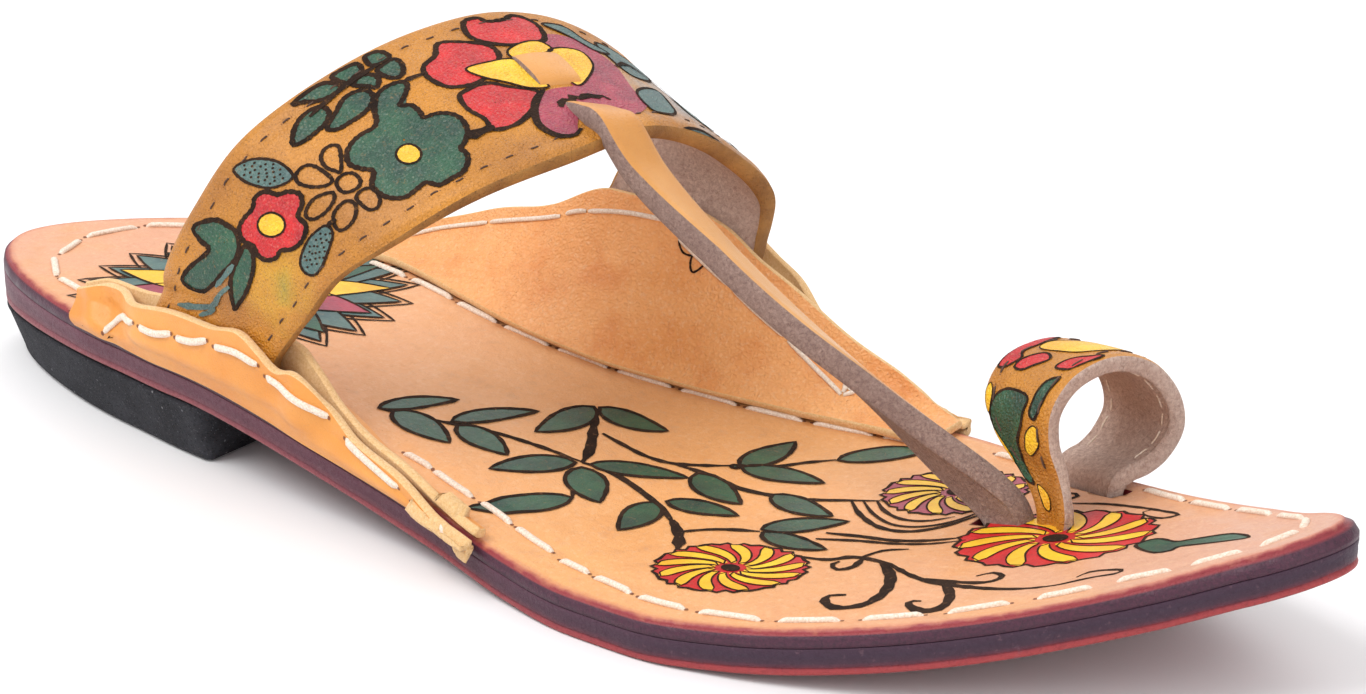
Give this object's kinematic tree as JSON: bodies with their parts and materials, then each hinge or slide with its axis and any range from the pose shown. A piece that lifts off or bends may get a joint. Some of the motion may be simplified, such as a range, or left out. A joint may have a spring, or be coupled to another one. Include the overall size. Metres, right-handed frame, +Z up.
{
  "type": "toe-loop sandal",
  "caption": "Flat leather toe-loop sandal for the right foot, with a slotted instep band, a woven-in centre thong, a big-toe ring, side wings and a rubber heel.",
  "frame": {"origin": "bottom centre of the sandal's bounding box, on the floor", "axes": "+X from heel to toe, +Y to the big toe's side (medial), +Z up"},
  "size_m": [0.2606, 0.0886, 0.0713],
  "materials": {
    "heel_rubber": "matt, speckled",
    "outsole_leather": "dyed edge, waxed",
    "insole_leather": "smooth tan, hand-painted",
    "wing_leather": "smooth tan, semi-gloss",
    "strap_leather": "embossed grain, hand-painted",
    "loop_leather": "embossed grain, hand-painted"
  },
  "bodies": {
    "root": {"heel_block": "heel_rubber", "outsole": "outsole_leather", "insole": "insole_leather", "lateral_wing_inner": "wing_leather", "lateral_wing_outer": "wing_leather", "medial_wing_inner": "wing_leather", "medial_wing_outer": "wing_leather", "upper_straps": "strap_leather", "toe_loop": "loop_leather"}
  },
  "joints": []
}
